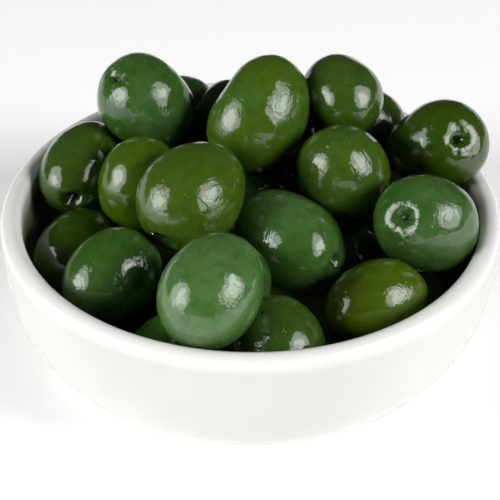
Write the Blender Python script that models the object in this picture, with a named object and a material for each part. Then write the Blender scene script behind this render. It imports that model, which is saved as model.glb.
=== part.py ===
"""A white bowl heaped with green olives: the bowl is one turned solid, the heap another."""
import math
from collections import namedtuple

import bmesh
import bpy
import numpy as np

# Driving dimensions, in millimetres; the meshes are made in metres
MM = 0.001
BOWL_RADIUS = 60.0
BOWL_HEIGHT = 40.0
FOOT_RADIUS = 26.0
WALL = 5.0
CLEARANCE = 0.6

# Roundness of the bowl's side: how full it is low down, and how far it spreads
BELLY = 2.9
SPREAD = 2.43

# Edges sharper than this, in degrees, stay crisp in the shading
CRISP_EDGE = 40

# Facets of the turned shapes
BOWL_SIDES = 56
WALL_STEPS = 10
LIP_STEPS = 6
CORE_SIDES = 24

# The stem end of an olive: a small deep pit with a soft shoulder round it
PIT_DEPTH = 1.9
PIT_RADIUS = 1.7
SHOULDER_HEIGHT = 0.25
SHOULDER_RADIUS = 3.6
SHOULDER_WIDTH = 1.4

# Facets of one olive: its sides, and its rings in degrees from the stem pit
OLIVE_SIDES = 14
OLIVE_RINGS = (8, 18, 34, 54, 76, 99, 122, 145, 165)

# The core under the olives rises above the bowl's inside in a low dome
CORE_EDGE_HEIGHT = 21.0
CORE_TOP = 34.0
CORE_DOME_STEPS = 6

GLAZE_COLOUR = (0.90, 0.89, 0.86, 1.0)
SKIN_COLOUR = (0.060, 0.125, 0.022, 1.0)

# One olive: its middle above the bowl's base, its length and width, the way its long axis
# and its stem pit point, and by how much its tip is slimmer than its stem end
Olive = namedtuple("Olive", "place length width axis stem taper")

# The olives that show, chosen by eye from the front of the heap to its back
OLIVES = (
    Olive((-25.6, 25.8, 51.6), 26.4, 23.5, (-0.5, -0.2, 0.8), (-0.6, -0.4, 0.8), 0.06),
    Olive((2.2, 15.9, 54.3), 30.0, 24.0, (-0.4, -0.5, -0.8), (-0.3, 0.3, -0.9), 0.05),
    Olive((22.4, 20.9, 55.7), 23.5, 20.0, (-0.3, 1.0, 0.0), (-0.3, 1.0, 0.0), 0.04),
    Olive((46.2, 14.4, 45.5), 26.5, 21.5, (0.8, -0.4, 0.4), (0.4, -0.8, 0.6), 0.12),
    Olive((21.5, 2.4, 45.9), 25.0, 22.5, (0.3, 0.4, -0.9), (0.3, 0.4, -0.9), 0.05),
    Olive((42.1, -14.1, 41.8), 27.0, 22.5, (-0.7, -0.3, 0.7), (-0.5, -0.6, 0.6), 0.05),
    Olive((-43.0, 15.2, 38.8), 27.0, 19.5, (-0.3, -0.9, -0.3), (-0.1, -1.0, -0.1), 0.05),
    Olive((-27.5, 3.1, 41.0), 24.5, 20.0, (0.27, 0.25, 0.93), (0.2, 1.0, -0.1), 0.05),
    Olive((-13.9, -10.8, 47.8), 27.5, 23.8, (-0.6, -0.8, -0.3), (-0.5, -0.78, -0.39), 0.05),
    Olive((-42.5, -6.5, 28.5), 25.0, 20.0, (0.63, 0.73, 0.28), (0.63, 0.73, 0.28), 0.05),
    Olive((-31.8, -24.0, 34.8), 25.2, 20.5, (0.7, 0.65, 0.3), (0.7, 0.65, 0.3), 0.05),
    Olive((-8.0, -42.3, 44.4), 26.6, 22.4, (-0.46, -0.76, -0.46), (-0.4, 0.5, -0.8), 0.04),
    Olive((9.2, -10.4, 35.2), 29.5, 22.5, (0.72, -0.67, -0.2), (0.8, -0.6, 0.0), 0.06),
    Olive((28.3, -30.3, 32.6), 25.1, 18.5, (0.89, 0.45, 0.04), (0.8, 0.5, 0.3), 0.04),
    Olive((6.0, -42.5, 29.5), 24.0, 20.5, (-0.48, 0.76, 0.45), (0.2, 0.6, -0.8), 0.05),
    Olive((-17.7, -38.9, 23.0), 24.0, 20.0, (0.9, 0.2, 0.3), (0.9, 0.2, 0.3), 0.05),
    Olive((-18.7, 41.3, 41.0), 21.5, 18.0, (0.6, 0.8, -0.3), (-0.2, 0.9, 0.4), 0.05),
    Olive((-4.8, 32.3, 43.0), 21.0, 18.0, (0.2, 0.6, 0.8), (0.2, 0.6, 0.8), 0.05),
    Olive((30.5, 34.0, 40.5), 24.0, 20.0, (0.6, 0.3, -0.7), (0.6, 0.3, -0.7), 0.05),
    Olive((-2.5, 9.0, 32.0), 24.0, 21.0, (1.0, 0.1, 0.1), (1.0, 0.1, 0.1), 0.05),
    Olive((24.5, -0.5, 23.5), 24.5, 20.0, (0.5, 0.5, 0.7), (0.5, 0.5, 0.7), 0.05),
    Olive((40.0, -14.5, 20.5), 24.0, 20.0, (0.8, 0.4, 0.5), (0.8, 0.4, 0.5), 0.05),
    Olive((-1.0, 44.5, 28.5), 25.0, 21.0, (0.9, 0.2, 0.3), (-0.5, 0.8, 0.1), 0.05),
    Olive((-34.0, 30.0, 27.0), 24.5, 20.5, (-0.4, 0.6, 0.7), (-0.4, 0.6, 0.7), 0.05),
    Olive((43.0, 6.5, 25.0), 24.5, 20.5, (0.1, 0.9, 0.4), (0.1, 0.9, 0.4), 0.05),
    Olive((15.5, 19.5, 32.0), 24.5, 20.5, (0.3, -0.7, 0.6), (0.3, -0.7, 0.6), 0.05),
    Olive((-17.0, 19.5, 32.0), 24.5, 20.5, (0.7, 0.5, -0.5), (0.7, 0.5, -0.5), 0.05),
    Olive((-7.0, -21.0, 31.0), 24.5, 20.5, (0.5, -0.5, 0.7), (0.5, -0.5, 0.7), 0.05),
    Olive((20.0, 41.0, 24.0), 25.0, 20.5, (0.7, -0.3, 0.6), (0.7, -0.3, 0.6), 0.05),
    Olive((35.5, 24.5, 24.0), 24.0, 20.0, (-0.2, 0.5, 0.8), (-0.2, 0.5, 0.8), 0.05),
    Olive((13.5, 29.5, 41.5), 21.0, 18.5, (0.5, -0.6, 0.6), (0.6, 0.7, 0.4), 0.05),
)

# Where an olive's skin stands out from a plain egg shape, or in where the height is less
# than nothing: the olive's place in the list above, counted from one, the way and the height
Swell = namedtuple("Swell", "olive way height")

SWELLS = (
    Swell(1, (0.6, 0.5, 0.6), -1.6),
    Swell(1, (0.9, -0.2, -0.3), 0.5),
    Swell(2, (0.9, 0.2, 0.3), 0.8),
    Swell(2, (-0.8, 0.4, 0.5), -2.1),
    Swell(3, (-0.7, -0.4, -0.6), -1.2),
    Swell(3, (0.5, 0.5, 0.7), -0.9),
    Swell(4, (0.9, -0.4, -0.1), 0.5),
    Swell(4, (-0.8, 0.4, 0.5), -0.9),
    Swell(6, (0.8, -0.2, 0.6), 0.9),
    Swell(6, (0.0, 0.6, 0.8), -0.4),
    Swell(7, (0.5, 0.5, 0.7), 0.5),
    Swell(9, (0.7, 0.4, 0.5), 0.8),
    Swell(12, (0.9, -0.3, -0.4), -0.5),
    Swell(13, (-0.6, 0.5, 0.6), 0.7),
)

# How far a swell spreads over the skin, in degrees
SWELL_SPREAD = 37

# The balls near the two ends of an olive, as a share of the one in its middle
END_BALL = 0.93

# The nudging that leaves neighbours pressed together. The first olives of the list hold
# their places; the others are drawn to whatever they nearly touch. In turn: the rounds, the
# depth of a press, the gap that still draws, and the shares of pushing, drawing and holding
SETTLE_ROUNDS = 250
HELD_OLIVES = 19
SQUEEZE = 0.8
DRAW_RANGE = 3.0
PUSH_SHARE = 0.3
DRAW_SHARE = 0.1
HOLD_SHARE = 0.15


def unit(vector):
    """The vector at length one."""
    vector = np.array(vector, float)
    return vector / np.linalg.norm(vector)


def wall_curve(steps, inset):
    """Half outline of the bowl's side, foot to lip, moved inwards along its own normal."""
    turn = np.linspace(0.0, math.pi / 2, steps + 1)
    radius = FOOT_RADIUS + (BOWL_RADIUS - FOOT_RADIUS) * np.sin(turn) ** (2 / SPREAD)
    height = (BOWL_HEIGHT - WALL / 2) * (1 - np.cos(turn) ** (2 / BELLY))
    along = np.stack([np.gradient(radius), np.gradient(height)], axis=1)
    along[0] = (1.0, 0.0)
    along[-1] = (0.0, 1.0)
    along /= np.linalg.norm(along, axis=1)[:, None]
    return np.stack([radius - inset * along[:, 1], height + inset * along[:, 0]], axis=1)


def lip_curve(steps):
    """Half circle over the bowl's lip, from its outer side to its inner side."""
    turn = np.linspace(0.0, math.pi, steps + 1)
    radius = BOWL_RADIUS - WALL / 2 + WALL / 2 * np.cos(turn)
    height = BOWL_HEIGHT - WALL / 2 + WALL / 2 * np.sin(turn)
    return np.stack([radius, height], axis=1)


def inside_outline():
    """The bowl's inside from the middle of its floor, up the wall and over the lip."""
    floor_middle = [(0.0, WALL)]
    over_the_lip = lip_curve(LIP_STEPS)[::-1]
    return np.concatenate([floor_middle, wall_curve(WALL_STEPS, WALL), over_the_lip[1:]])


def balls_in(olive):
    """Three balls along the long axis that fill an olive: how far along, and how large."""
    stem_ball = olive.width / 2 * END_BALL
    tip_ball = olive.width / 2 * (END_BALL - olive.taper)
    offsets = (olive.length / 2 - stem_ball, 0.0, tip_ball - olive.length / 2)
    return offsets, (stem_ball, olive.width / 2, tip_ball)


def push_off_bowl(middles, radii, outline):
    """The move that takes each ball clear of the bowl's inside."""
    reach = np.hypot(middles[:, 0], middles[:, 1])
    here = np.stack([reach, middles[:, 2]], axis=1)
    start = outline[:-1]
    run = np.diff(outline, axis=0)
    along = ((here[:, None] - start) * run).sum(axis=-1) / (run ** 2).sum(axis=-1)
    nearest = start + np.clip(along, 0, 1)[..., None] * run
    away = here[:, None] - nearest
    distance = np.linalg.norm(away, axis=-1)
    rows = np.arange(len(middles))
    pick = distance.argmin(axis=1)
    normal = np.stack([-run[pick, 1], run[pick, 0]], axis=1)
    normal /= np.linalg.norm(normal, axis=1)[:, None]
    side = np.sign((away[rows, pick] * normal).sum(axis=-1))
    depth = np.clip(radii + CLEARANCE - side * distance[rows, pick], 0, None)
    straight = away[rows, pick] / distance[rows, pick][:, None]
    push = np.where(side[:, None] > 0, straight, normal) * depth[:, None]
    outward = middles[:, :2] / reach[:, None]
    return np.concatenate([outward * push[:, :1], push[:, 1:]], axis=1)


def settle(olives):
    """Nudge the olives until neighbours press together inside the bowl: their middles."""
    count = len(olives)
    olive = np.arange(count)
    rows, columns = np.indices((count, count))
    outline = inside_outline()
    typed = np.array([one.place for one in olives], float)
    places = typed.copy()
    axes = np.array([unit(one.axis) for one in olives])
    offsets = np.array([balls_in(one)[0] for one in olives])
    radii = np.array([balls_in(one)[1] for one in olives])
    reach = radii[:, None, :, None] + radii[None, :, None, :]
    for _ in range(SETTLE_ROUNDS):
        middles = places[:, None] + axes[:, None] * offsets[..., None]
        apart = middles[:, None, :, None] - middles[None, :, None, :]
        distance = np.linalg.norm(apart, axis=-1) + 1e-9
        overlap = (reach - distance).reshape(count, count, -1)
        worst = (rows, columns, overlap.argmax(axis=-1))
        way = (apart / distance[..., None]).reshape(count, count, -1, 3)[worst]
        excess = overlap[worst] - SQUEEZE
        excess[olive, olive] = 0
        move = np.where(excess > 0, PUSH_SHARE * excess, DRAW_SHARE * excess)
        move[excess < -DRAW_RANGE] = 0
        move[:HELD_OLIVES] = np.clip(move[:HELD_OLIVES], 0, None)
        places += (way * move[..., None]).sum(axis=1)
        places[:HELD_OLIVES] += HOLD_SHARE * (typed - places)[:HELD_OLIVES]
        off_wall = push_off_bowl(middles.reshape(-1, 3), radii.reshape(-1), outline)
        off_wall = off_wall.reshape(count, -1, 3)
        deepest = np.linalg.norm(off_wall, axis=-1).argmax(axis=1)
        places += off_wall[olive, deepest]
    return places


def swelling(number, direction):
    """How far an olive's skin stands out from a plain egg shape along each direction."""
    total = np.zeros(len(direction))
    for swell in SWELLS:
        if swell.olive == number:
            off_way = np.degrees(np.arccos(np.clip(direction @ unit(swell.way), -1, 1)))
            total += swell.height * np.exp(-(off_way / SWELL_SPREAD) ** 2)
    return total


def skin_radius(number, olive, direction):
    """Distance from an olive's middle to its skin along each direction."""
    along = direction @ unit(olive.axis)
    half_length = olive.length / 2
    half_width = olive.width / 2 * (1 + olive.taper * along)
    skin = 1 / np.sqrt(along ** 2 / half_length ** 2 + (1 - along ** 2) / half_width ** 2)
    skin += swelling(number, direction)
    from_stem = np.arccos(np.clip(direction @ unit(olive.stem), -1, 1)) * skin
    pit = PIT_DEPTH * np.exp(-(from_stem / PIT_RADIUS) ** 2)
    shoulder = SHOULDER_HEIGHT * np.exp(-((from_stem - SHOULDER_RADIUS) / SHOULDER_WIDTH) ** 2)
    return skin - pit + shoulder


def ring_directions(pole, sides, rings):
    """Unit directions on rings round a pole, with the pole and its opposite at the ends."""
    pole = unit(pole)
    least = np.eye(3)[np.abs(pole).argmin()]
    across = unit(np.cross(pole, least))
    upright = np.cross(pole, across)
    turn = np.arange(sides) * 2 * math.pi / sides
    circle = np.cos(turn)[:, None] * across + np.sin(turn)[:, None] * upright
    angles = np.radians(rings)
    bands = [math.cos(angle) * pole + math.sin(angle) * circle for angle in angles]
    return np.concatenate([[pole], *bands, [-pole]])


def banded_faces(sides, bands):
    """Faces of a closed shape of point, bands of equal sides and point, facing out."""
    last = sides * bands + 1
    faces = []
    for side in range(sides):
        beside = (side + 1) % sides
        faces.append((0, 1 + side, 1 + beside))
        for band in range(bands - 1):
            low = 1 + band * sides
            high = low + sides
            faces.append((low + side, high + side, high + beside, low + beside))
        low = 1 + (bands - 1) * sides
        faces.append((low + side, last, low + beside))
    return faces


def solid_object(name, points, faces):
    """A named object of a closed mesh, given in millimetres, with its faces turned out."""
    mesh = bpy.data.meshes.new(name)
    mesh.from_pydata([tuple(point) for point in np.asarray(points) * MM], [], faces)
    shell = bmesh.new()
    shell.from_mesh(mesh)
    bmesh.ops.recalc_face_normals(shell, faces=shell.faces)
    shell.to_mesh(mesh)
    shell.free()
    built = bpy.data.objects.new(name, mesh)
    bpy.context.scene.collection.objects.link(built)
    return built


def turned_solid(name, outline, sides):
    """A solid turned round +Z from a half outline whose two ends are on the axis."""
    turn = np.arange(sides) * 2 * math.pi / sides
    points = [(0.0, 0.0, outline[0][1])]
    for radius, height in outline[1:-1]:
        points.extend((radius * math.cos(angle), radius * math.sin(angle), height) for angle in turn)
    points.append((0.0, 0.0, outline[-1][1]))
    return solid_object(name, points, banded_faces(sides, len(outline) - 2))


def finish(thing, colour, roughness):
    """One plain material, and smooth shading except over the sharp edges."""
    material = bpy.data.materials.new(thing.name)
    material.use_nodes = True
    shader = material.node_tree.nodes["Principled BSDF"]
    shader.inputs["Base Color"].default_value = colour
    shader.inputs["Roughness"].default_value = roughness
    shader.inputs["Metallic"].default_value = 0.0
    thing.data.materials.clear()
    thing.data.materials.append(material)
    thing.data.shade_smooth()
    thing.data.set_sharp_from_angle(angle=math.radians(CRISP_EDGE))


def make_bowl():
    """The glazed bowl: round side, even wall, rounded lip and a flat foot."""
    outside = wall_curve(WALL_STEPS, 0.0)
    lip = lip_curve(LIP_STEPS)[1:-1]
    inside = wall_curve(WALL_STEPS, WALL)[::-1]
    outline = np.concatenate([[(0.0, 0.0)], outside, lip, inside, [(0.0, WALL)]])
    bowl = turned_solid("bowl", outline, BOWL_SIDES)
    finish(bowl, GLAZE_COLOUR, 0.25)


def make_core():
    """The packed middle of the heap, which the olives that show are bedded in."""
    side = wall_curve(WALL_STEPS, WALL + CLEARANCE)
    side = side[side[:, 1] < CORE_EDGE_HEIGHT]
    edge_radius, edge_height = side[-1]
    turn = np.linspace(0.0, math.pi / 2, CORE_DOME_STEPS + 1)[1:]
    dome_radius = edge_radius * np.cos(turn)
    dome_height = edge_height + (CORE_TOP - edge_height) * np.sin(turn)
    dome = np.stack([dome_radius, dome_height], axis=1)
    outline = np.concatenate([[(0.0, WALL + CLEARANCE)], side, dome])
    outline[-1, 0] = 0.0
    return turned_solid("olives", outline, CORE_SIDES)


def make_olive(number, olive, middle):
    """One olive of few sides, at its settled place."""
    directions = ring_directions(olive.stem, OLIVE_SIDES, OLIVE_RINGS)
    points = middle + directions * skin_radius(number, olive, directions)[:, None]
    return solid_object(f"olive_{number}", points, banded_faces(OLIVE_SIDES, len(OLIVE_RINGS)))


def fuse(base, pieces, solver):
    """Join the pieces to the base by one Boolean union, and remove them."""
    group = bpy.data.collections.new("fused")
    bpy.context.scene.collection.children.link(group)
    for piece in pieces:
        bpy.context.scene.collection.objects.unlink(piece)
        group.objects.link(piece)
    union = base.modifiers.new("union", "BOOLEAN")
    union.operation = "UNION"
    union.solver = solver
    union.operand_type = "COLLECTION"
    union.collection = group
    bpy.context.view_layer.update()
    evaluated = base.evaluated_get(bpy.context.evaluated_depsgraph_get())
    fused = bpy.data.meshes.new_from_object(evaluated)
    base.modifiers.clear()
    base.data = fused
    for piece in pieces:
        bpy.data.objects.remove(piece, do_unlink=True)
    bpy.data.collections.remove(group)


def shells_of(shell):
    """The separate closed surfaces of a bmesh, as lists of faces."""
    left = set(shell.faces)
    found = []
    while left:
        start = left.pop()
        group = [start]
        reached = [start]
        while reached:
            face = reached.pop()
            for edge in face.edges:
                for other in edge.link_faces:
                    if other in left:
                        left.remove(other)
                        group.append(other)
                        reached.append(other)
        found.append(group)
    return found


def keep_outer_shell(thing):
    """Fill the sealed hollows and drop the loose scraps that fusing leaves."""
    shell = bmesh.new()
    shell.from_mesh(thing.data)
    bmesh.ops.triangulate(shell, faces=shell.faces)
    groups = sorted(shells_of(shell), key=len)
    for group in groups[:-1]:
        bmesh.ops.delete(shell, geom=group, context="FACES")
    shell.to_mesh(thing.data)
    shell.free()


def make_heap():
    """The heap as one solid: the core with every olive that shows fused on."""
    core = make_core()
    middles = settle(OLIVES)
    pieces = [make_olive(number, olive, middle)
              for number, (olive, middle) in enumerate(zip(OLIVES, middles), start=1)]
    fuse(core, pieces, "EXACT")
    keep_outer_shell(core)
    finish(core, SKIN_COLOUR, 0.3)


def clear_scene():
    """Remove whatever the scene starts with."""
    for thing in list(bpy.data.objects):
        bpy.data.objects.remove(thing, do_unlink=True)


clear_scene()
make_bowl()
make_heap()
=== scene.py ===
"""A white glazed bowl heaped with green olives, their skins wet with brine.

Every button of the sidebar panel makes one group of pieces, or the stage round them.
"""
import math
from collections import namedtuple

import bmesh
import bpy
import numpy as np
from bpy.props import FloatProperty, FloatVectorProperty, IntProperty, PointerProperty
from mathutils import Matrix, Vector


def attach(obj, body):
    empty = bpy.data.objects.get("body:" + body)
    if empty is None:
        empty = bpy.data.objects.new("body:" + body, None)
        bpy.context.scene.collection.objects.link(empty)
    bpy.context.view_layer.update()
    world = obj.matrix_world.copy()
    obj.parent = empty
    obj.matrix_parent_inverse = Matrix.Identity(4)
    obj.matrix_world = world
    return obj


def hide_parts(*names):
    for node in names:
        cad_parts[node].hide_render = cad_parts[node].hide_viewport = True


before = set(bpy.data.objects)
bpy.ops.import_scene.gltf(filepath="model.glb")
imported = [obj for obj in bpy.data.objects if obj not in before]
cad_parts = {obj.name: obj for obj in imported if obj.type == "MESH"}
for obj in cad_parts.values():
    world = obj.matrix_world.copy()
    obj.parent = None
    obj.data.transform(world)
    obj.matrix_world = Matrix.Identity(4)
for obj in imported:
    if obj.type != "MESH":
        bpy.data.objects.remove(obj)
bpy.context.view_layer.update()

bl_info = {
    "name": "Dish of olives",
    "version": (1, 0, 0),
    "blender": (4, 5, 0),
    "location": "3D View > Sidebar > Olives",
    "description": "Makes a white bowl heaped with brined green olives",
    "category": "Object",
}

BODY = "root"

# Sizes of the bowl, in millimetres as in the solid it replaces
MM = 0.001
BOWL_RADIUS = 60.0
BOWL_HEIGHT = 40.0
FOOT_RADIUS = 26.0
WALL = 5.0
CLEARANCE = 0.6
BELLY = 2.9
SPREAD = 2.43

# Steps of the outline that the olives settle on
WALL_STEPS = 10
LIP_STEPS = 6

# Steps of the outline that is shown
FINE_WALL_STEPS = 56
FINE_LIP_STEPS = 26

# The waves by which the thrown lip strays from a true circle: how many go round, and the
# turn at which each starts, in radians
LIP_WAVES = ((2, 0.7), (3, 2.1))

# The faint turned line under the lip
TURNED_LINE_DROP = 4.6
TURNED_LINE_WIDTH = 0.35
TURNED_LINE_DEPTH = 0.05

# The stem end of an olive: a wide basin, a hollow in it and its shade for each mm of depth,
# and folds that run out of them
BASIN_RADIUS = 4.2
HOLLOW_RADIUS = 2.3
HOLLOW_SHADE = 0.4
FOLD_SIZE = 1.5
FOLD_REACH = 5.0

# How far, as a share, the stem end strays from a true circle, and over what size
WARP = 0.7
WARP_SIZE = 5.0

# How much longer than wide the pit is, as the share taken off its length
PIT_STRETCH = 0.55

# Painted shade in a stem pit, deeper pits darker: between these depths it goes from the skin's own
# colour to full shade
UNSHADED_PIT_DEPTH = 0.4
FULL_SHADE_PIT_DEPTH = 1.8

# How far an olive's rings crowd together towards its stem pit: 1 for not at all
RING_CROWDING = 1.5

# The dents in a skin: the size of the broad ones and of the fine ones, the share that the
# fine ones add, and the level of the two together that counts as no dent
DENT_SIZE = 9.0
FINE_DENT_SIZE = 2.8
FINE_DENT_SHARE = 0.22
DENT_LEVEL = 0.65

# The small nub at the other end
NUB_HEIGHT = 0.3
NUB_RADIUS = 0.9

# The core under the olives, the depth of its dents and how many go round
CORE_EDGE_HEIGHT = 19.0
CORE_TOP = 31.0
CORE_SIDES = 96
CORE_DOME_STEPS = 24
CORE_DENT = 0.8
CORE_DENTS_ROUND = 7

# One olive: its middle above the bowl's base, its length and width, the way its long axis
# and its stem pit point, and by how much its tip is slimmer than its stem end
Olive = namedtuple("Olive", "place length width axis stem taper")

OLIVES = (
    Olive((-25.6, 25.8, 51.6), 26.4, 23.5, (-0.5, -0.2, 0.8), (-0.6, -0.4, 0.8), 0.06),
    Olive((2.2, 15.9, 54.3), 30.0, 24.0, (-0.4, -0.5, -0.8), (-0.3, 0.3, -0.9), 0.05),
    Olive((22.4, 20.9, 55.7), 23.5, 20.0, (-0.3, 1.0, 0.0), (-0.3, 1.0, 0.0), 0.04),
    Olive((46.2, 14.4, 45.5), 26.5, 21.5, (0.8, -0.4, 0.4), (0.4, -0.8, 0.6), 0.12),
    Olive((21.5, 2.4, 45.9), 25.0, 22.5, (0.3, 0.4, -0.9), (0.3, 0.4, -0.9), 0.05),
    Olive((42.1, -14.1, 41.8), 27.0, 22.5, (-0.7, -0.3, 0.7), (-0.5, -0.6, 0.6), 0.05),
    Olive((-43.0, 15.2, 38.8), 27.0, 19.5, (-0.3, -0.9, -0.3), (-0.1, -1.0, -0.1), 0.05),
    Olive((-27.5, 3.1, 41.0), 24.5, 20.0, (0.27, 0.25, 0.93), (0.2, 1.0, -0.1), 0.05),
    Olive((-13.9, -10.8, 47.8), 27.5, 23.8, (-0.6, -0.8, -0.3), (-0.5, -0.78, -0.39), 0.05),
    Olive((-42.5, -6.5, 28.5), 25.0, 20.0, (0.63, 0.73, 0.28), (0.63, 0.73, 0.28), 0.05),
    Olive((-31.8, -24.0, 34.8), 25.2, 20.5, (0.7, 0.65, 0.3), (0.7, 0.65, 0.3), 0.05),
    Olive((-8.0, -42.3, 44.4), 26.6, 22.4, (-0.46, -0.76, -0.46), (-0.4, 0.5, -0.8), 0.04),
    Olive((9.2, -10.4, 35.2), 29.5, 22.5, (0.72, -0.67, -0.2), (0.8, -0.6, 0.0), 0.06),
    Olive((28.3, -30.3, 32.6), 25.1, 18.5, (0.89, 0.45, 0.04), (0.8, 0.5, 0.3), 0.04),
    Olive((6.0, -42.5, 29.5), 24.0, 20.5, (-0.48, 0.76, 0.45), (0.2, 0.6, -0.8), 0.05),
    Olive((-17.7, -38.9, 23.0), 24.0, 20.0, (0.9, 0.2, 0.3), (0.9, 0.2, 0.3), 0.05),
    Olive((-18.7, 41.3, 41.0), 21.5, 18.0, (0.6, 0.8, -0.3), (-0.2, 0.9, 0.4), 0.05),
    Olive((-4.8, 32.3, 43.0), 21.0, 18.0, (0.2, 0.6, 0.8), (0.2, 0.6, 0.8), 0.05),
    Olive((30.5, 34.0, 40.5), 24.0, 20.0, (0.6, 0.3, -0.7), (0.6, 0.3, -0.7), 0.05),
    Olive((-2.5, 9.0, 32.0), 24.0, 21.0, (1.0, 0.1, 0.1), (1.0, 0.1, 0.1), 0.05),
    Olive((24.5, -0.5, 23.5), 24.5, 20.0, (0.5, 0.5, 0.7), (0.5, 0.5, 0.7), 0.05),
    Olive((40.0, -14.5, 20.5), 24.0, 20.0, (0.8, 0.4, 0.5), (0.8, 0.4, 0.5), 0.05),
    Olive((-1.0, 44.5, 28.5), 25.0, 21.0, (0.9, 0.2, 0.3), (-0.5, 0.8, 0.1), 0.05),
    Olive((-34.0, 30.0, 27.0), 24.5, 20.5, (-0.4, 0.6, 0.7), (-0.4, 0.6, 0.7), 0.05),
    Olive((43.0, 6.5, 25.0), 24.5, 20.5, (0.1, 0.9, 0.4), (0.1, 0.9, 0.4), 0.05),
    Olive((15.5, 19.5, 32.0), 24.5, 20.5, (0.3, -0.7, 0.6), (0.3, -0.7, 0.6), 0.05),
    Olive((-17.0, 19.5, 32.0), 24.5, 20.5, (0.7, 0.5, -0.5), (0.7, 0.5, -0.5), 0.05),
    Olive((-7.0, -21.0, 31.0), 24.5, 20.5, (0.5, -0.5, 0.7), (0.5, -0.5, 0.7), 0.05),
    Olive((20.0, 41.0, 24.0), 25.0, 20.5, (0.7, -0.3, 0.6), (0.7, -0.3, 0.6), 0.05),
    Olive((35.5, 24.5, 24.0), 24.0, 20.0, (-0.2, 0.5, 0.8), (-0.2, 0.5, 0.8), 0.05),
    Olive((13.5, 29.5, 41.5), 21.0, 18.5, (0.5, -0.6, 0.6), (0.6, 0.7, 0.4), 0.05),
)

# Where an olive's skin stands out from a plain egg shape, or in where the height is less
# than nothing: the olive's place in the list above, counted from one, the way and the height
Swell = namedtuple("Swell", "olive way height")

SWELLS = (
    Swell(1, (0.6, 0.5, 0.6), -1.6),
    Swell(1, (0.9, -0.2, -0.3), 0.5),
    Swell(2, (0.9, 0.2, 0.3), 0.8),
    Swell(2, (-0.8, 0.4, 0.5), -2.1),
    Swell(3, (-0.7, -0.4, -0.6), -1.2),
    Swell(3, (0.5, 0.5, 0.7), -0.9),
    Swell(4, (0.9, -0.4, -0.1), 0.5),
    Swell(4, (-0.8, 0.4, 0.5), -0.9),
    Swell(6, (0.8, -0.2, 0.6), 0.9),
    Swell(6, (0.0, 0.6, 0.8), -0.4),
    Swell(7, (0.5, 0.5, 0.7), 0.5),
    Swell(9, (0.7, 0.4, 0.5), 0.8),
    Swell(12, (0.9, -0.3, -0.4), -0.5),
    Swell(13, (-0.6, 0.5, 0.6), 0.7),
)

# How far a swell spreads over the skin, in degrees
SWELL_SPREAD = 37

# The nudging that leaves neighbours pressed together, as in the solid. In turn: the balls near
# an olive's ends as a share of its middle one, the rounds, how many olives hold their places,
# the depth of a press, the gap that still draws, and the shares of each nudge
END_BALL = 0.93
SETTLE_ROUNDS = 250
HELD_OLIVES = 19
SQUEEZE = 0.8
DRAW_RANGE = 3.0
PUSH_SHARE = 0.3
DRAW_SHARE = 0.1
HOLD_SHARE = 0.15

# The look of one olive: its ripeness, how far it goes to its ripeness's second colour, how
# light it is (its own lightness, with painted light on some olives and painted shade on
# others), how crinkled its film of brine is, and in mm the depth and radius of its stem
# pit, the depths of the basin round that and of the hollow in it, and the folds' height
Look = namedtuple(
    "Look", "ripeness tone shade film pit mouth basin hollow folds",
    defaults=(1.6, 1.5, 0.2, 0.2, 0.1))

# The olives whose looks are chosen, in the order of the list above
LOOKS = (
    Look("sea", 0.2, 0.9, 0.45, pit=1.4, mouth=0.9, basin=0.3, hollow=0.3, folds=0.8),
    Look("leaf", 0.5, 1.05, 0.5),
    Look("leaf", 0.4, 0.76, 0.35),
    Look("lime", 0.65, 0.60, 0.4, pit=1.9, mouth=1.0, basin=1.1, hollow=0.6, folds=0.4),
    Look("leaf", 0.5, 0.93, 0.5),
    Look("sea", 0.4, 0.9, 0.6, pit=1.1, mouth=0.8, basin=1.2, hollow=0.7, folds=0.5),
    Look("leaf", 0.6, 0.72, 0.3, pit=3.0, mouth=1.6, basin=0.35),
    Look("lime", 0.55, 1.0, 0.05),
    Look("leaf", 0.2, 0.95, 0.55, pit=1.7, mouth=2.1, basin=0.5, hollow=0.4, folds=0.4),
    Look("lime", 0.7, 0.55, 0.3),
    Look("sea", 0.15, 0.92, 0.65),
    Look("sea", 0.95, 1.15, 0.5),
    Look("sea", 0.65, 1.05, 0.5, pit=1.0, mouth=1.2, basin=1.6, hollow=0.8, folds=1.3),
    Look("lime", 0.05, 1.14, 0.6),
    Look("leaf", 0.7, 0.8, 0.7),
    # Painted light: this low olive, shaded by the rim and its neighbours, is made much lighter
    Look("leaf", 0.8, 2.2, 0.5),
    # Painted shade: the three hidden olives at the back are darkened
    Look("sea", 0.3, 0.5, 0.4),
    Look("sea", 0.2, 0.45, 0.4),
    Look("leaf", 0.3, 0.5, 0.4),
)
RIPENESS = ("sea", "leaf", "lime")

# Between what the looks of the olives that hardly show are drawn: tone, shade (kept low, as
# painted shade), film, the depth of the pit and of the basin
LOOK_SEED = 11
DRAWN_LOW = (0.1, 0.7, 0.2, 1.2, 0.0)
DRAWN_HIGH = (0.9, 0.9, 0.9, 2.2, 0.6)

# Brine that gathers round the places where two olives touch: how many drops, the widest gap
# that still counts as touching, how far from the touch they lie in degrees, their radii, how
# flat they are and how deep they sit in the skin
DROP_SEED = 5
DROPS_AT_TOUCH = 3
TOUCH_GAP = 1.2
DROP_ANGLE = (17, 25)
DROP_RADIUS = (0.25, 0.75)
DROP_FLATNESS = 0.55
DROP_SINK = 0.15

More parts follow.
